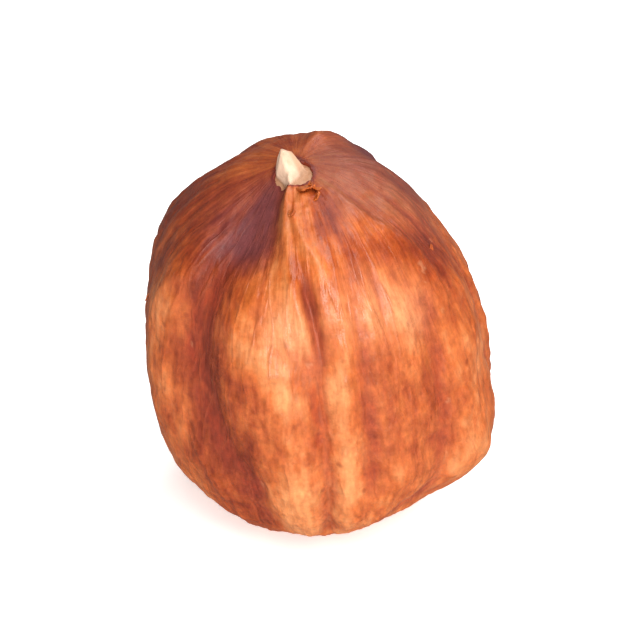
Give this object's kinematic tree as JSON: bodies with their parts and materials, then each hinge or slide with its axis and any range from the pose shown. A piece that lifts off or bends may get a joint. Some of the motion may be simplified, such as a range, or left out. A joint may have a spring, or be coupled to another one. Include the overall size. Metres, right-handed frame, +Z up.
{
  "type": "hazelnut kernel",
  "caption": "Shelled hazelnut kernel in its wrinkled brown skin, ridged from its pointed tip to its blunt base, standing on a small flat spot.",
  "frame": {"origin": "bottom centre of the bounding box, on the surface that the kernel stands on", "axes": "+Z up from the blunt base to the tip, -Y out of the creased front, +X to the right of someone facing the front"},
  "size_m": [0.0138, 0.013, 0.0171],
  "materials": {
    "kernel_skin": null
  },
  "bodies": {
    "root": {"kernel": "kernel_skin"}
  },
  "joints": []
}
